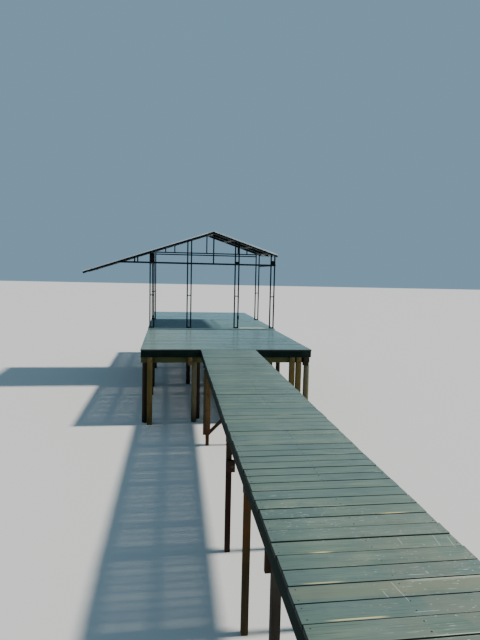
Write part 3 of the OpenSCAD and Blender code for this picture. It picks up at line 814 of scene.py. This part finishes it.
def hexagon_screw(face, outward, size):
    """A washer and a hexagon head that stand outward on a face; size is the head's radius."""
    part = bmesh.new()
    washer = (12, size * 1.3, screw_washer_thick, 0.0)
    head = (6, size, screw_head_high, screw_head_stand)
    for sides, radius, depth, out in (washer, head):
        made = bmesh.ops.create_cone(
            part, cap_ends=True, segments=sides, radius1=radius, radius2=radius * 0.94, depth=depth
        )
        bmesh.ops.translate(part, vec=(0, 0, out), verts=made["verts"])
    turn = Vector((0, 0, 1)).rotation_difference(outward).to_matrix()
    bmesh.ops.rotate(part, matrix=turn, verts=part.verts)
    middle = face + outward * (screw_washer_thick / 2)
    bmesh.ops.translate(part, vec=middle, verts=part.verts)
    return part


up = Vector((0, 0, 1))
plate_screws = []
for node in ("canopy_posts_front", "canopy_posts_back"):
    for part in solids_of(node):
        low, high = corners(part)
        for x in (low.x + screw_from_side, high.x - screw_from_side):
            for y in (low.y + screw_from_front, high.y - screw_from_front):
                face = Vector((x, y, low.z + foot_plate_thick))
                plate_screws.append(hexagon_screw(face, up, 0.0065))
        part.free()
finished("foot_plate_screws", plate_screws, [bolt_steel])


# Roof sheets: ribbed steel with a zinc-aluminium coat, laid from ridge to eave over the purlins.
# The coat has a fine spangle and dulls with dust on top; underneath, a flat dark grey is painted
# shade.
def zinc_coat():
    finish = Finish("zinc_coat")
    spangle = finish.cells(finish.spot, 90.0).out("Color")
    tone = finish.node("SeparateColor", {}, {0: spangle}).out("Red")
    streaks = finish.noise(finish.stretched((1.4, 12.0, 1.4)), 1.0, 4.0)
    dust = finish.noise(finish.spot, 1.6, 5.0)
    above = finish.mix(tone, rgb(0.50, 0.53, 0.55), rgb(0.62, 0.64, 0.65))
    above = finish.mix(streaks.between(0.45, 0.75) * 0.45, above, rgb(0.36, 0.36, 0.34))
    above = finish.mix(dust.between(0.5, 0.8) * 0.4, above, rgb(0.42, 0.38, 0.30))
    # Underside: painted shade.
    shade_below = finish.mix(streaks, rgb(0.024, 0.036, 0.040), rgb(0.042, 0.055, 0.056))
    _, _, facing_z = finish.split(finish.facing)
    upper = facing_z.between(-0.1, 0.1)
    finish.feed(finish.shader.inputs["Metallic"], upper * 0.6)
    finish.shader.inputs["Specular IOR Level"].default_value = 0.05
    roughness = dust * 0.25 + tone * 0.08 + 0.75 - upper * 0.45
    return finish.wear(finish.mix(upper, shade_below, above), roughness, streaks * 0.5 + dust, 0.0015)


zinc = zinc_coat()
for node in ("roof_sheet_left", "roof_sheet_right"):
    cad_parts[node].data.materials.clear()
    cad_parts[node].data.materials.append(zinc)


# Roof screws: short hexagon heads with a washer, driven through the pans into each purlin.
# They stand in straight rows, one to a pan.
screw_pitch = 0.2290
roof_screws = []
for side in ("left", "right"):
    sheet = solids_of("roof_sheet_" + side)[0]
    low, high = corners(sheet)
    surface = BVHTree.FromBMesh(sheet)
    sheet.free()
    pans = round((high.y - low.y) / screw_pitch) - 1
    first = (low.y + high.y - (pans - 1) * screw_pitch) / 2
    # Each purlin lies in two bays, and its front bay gives the row for both.
    purlins = in_order(solids_of("purlins_" + side), 1)
    for part in purlins[:len(purlins) // 2]:
        purlin_low, purlin_high = corners(part)
        x = (purlin_low.x + purlin_high.x) / 2
        for i in range(pans):
            above = Vector((x, first + i * screw_pitch, high.z + 1))
            face, outward, _, _ = surface.ray_cast(above, -up)
            roof_screws.append(hexagon_screw(face, outward, 0.0055))
finished("roof_screws", roof_screws, [bolt_steel])


# Ridge cap and trims: folded strips of the same steel in a light coat, screwed over the ribs.
# The left rake trim's leg is coloured black up to a finger under its fold, as painted shade.
fold_edge = 0.0006


def light_coat(name, shade_line=None):
    """A light coat. Shade line is a slope with its height at X 0; below it a front is black, as
    painted shade.
    """
    finish = Finish(name)
    dust = finish.noise(finish.spot, 4.0, 5.0)
    fine = finish.noise(finish.spot, 60.0, 3.0)
    colour = finish.mix(dust.between(0.35, 0.75), rgb(0.74, 0.81, 0.85), rgb(0.61, 0.66, 0.68))
    if shade_line:
        slope, top = shade_line
        x, _, z = finish.split(finish.spot)
        _, facing_y, _ = finish.split(finish.facing)
        height = z - x * slope + fine * 0.003
        shade_below = 1 - height.between(top - 0.026, top - 0.022)
        front = 1 - facing_y.between(-0.6, -0.4)
        # Painted shade: fronts under the shade line are coloured black.
        colour = finish.mix(shade_below * front, colour, rgb(0.008, 0.009, 0.011))
    finish.shader.inputs["Metallic"].default_value = 0.2
    return finish.wear(colour, dust * 0.2 + 0.35, fine, 0.0003)


def slope_of(part):
    """How steeply a folded strip rises along X, and the height of its upper side at X 0."""
    longest = max(part.edges, key=lambda edge: edge.calc_length())
    run = longest.verts[1].co - longest.verts[0].co
    slope = run.z / run.x
    return slope, max(vert.co.z - vert.co.x * slope for vert in part.verts)


light_trim = light_coat("light_trim")
for node in ("ridge_cap", "rake_trim_left", "rake_trim_right", "eave_trims"):
    strips = [eased(part, fold_edge) for part in solids_of(node)]
    coat = light_trim
    if node == "rake_trim_left":
        coat = shade_lined_trim = light_coat("part_shaded_trim", slope_of(strips[0]))
    finished(node + "_folded", strips, [coat], [node])


# Ridge end flaps: the ridge cap's ends, cut at the fold and bent down over the sheets' ends.
# They close the strip between the two rake trims, at the front and at the back of the roof.
flap_drop, flap_thick, flap_joint, flap_stand = 0.038, 0.0018, 0.0006, 0.0002
cap_low, cap_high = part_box("ridge_cap")
cap = solids_of("ridge_cap")[0]
flaps = []
for end_y, facing in ((cap_low.y, -1), (cap_high.y, 1)):
    end = [vert.co.copy() for vert in cap.verts if abs(vert.co.y - end_y) < 0.001]
    ridge = max(end, key=lambda place: place.z)
    for side in (-1, 1):
        wing = max(end, key=lambda place: (round(side * place.x, 3), place.z))
        slope = (wing.z - ridge.z) / (wing.x - ridge.x)
        width = abs(wing.x - ridge.x) - flap_joint
        flap = bmesh.new()
        bmesh.ops.create_cube(flap, size=1)
        bmesh.ops.scale(flap, vec=(width, flap_thick, flap_drop), verts=flap.verts)
        for vert in flap.verts:
            vert.co.z += vert.co.x * slope
        x = ridge.x + side * width / 2
        y = end_y + facing * (flap_thick / 2 + flap_stand)
        z = ridge.z - width / 2 * abs(slope) - flap_drop / 2
        bmesh.ops.translate(flap, vec=(x, y, z), verts=flap.verts)
        flaps.append(flap)
cap.free()
# The left halves take the trim coat with painted shade on their fronts.
finished("ridge_end_flaps", flaps, [shade_lined_trim, light_trim])


# Floor: a plain pale sheet under the feet of the legs, just low enough to stay clear of them.
# It stands in the picture only, and is no piece of the jetty.
floor_reach, floor_drop = 150, 0.002
floor_mesh = bmesh.new()
bmesh.ops.create_grid(floor_mesh, x_segments=1, y_segments=1, size=floor_reach)
bmesh.ops.translate(floor_mesh, vec=(0, 0, -floor_drop), verts=floor_mesh.verts)
floor_data = bpy.data.meshes.new("floor")
floor_mesh.to_mesh(floor_data)
floor_mesh.free()
floor = bpy.data.objects.new("floor", floor_data)
bpy.context.scene.collection.objects.link(floor)
floor_data.materials.append(Finish("floor").wear(rgb(0.62, 0.61, 0.59), 0.9))
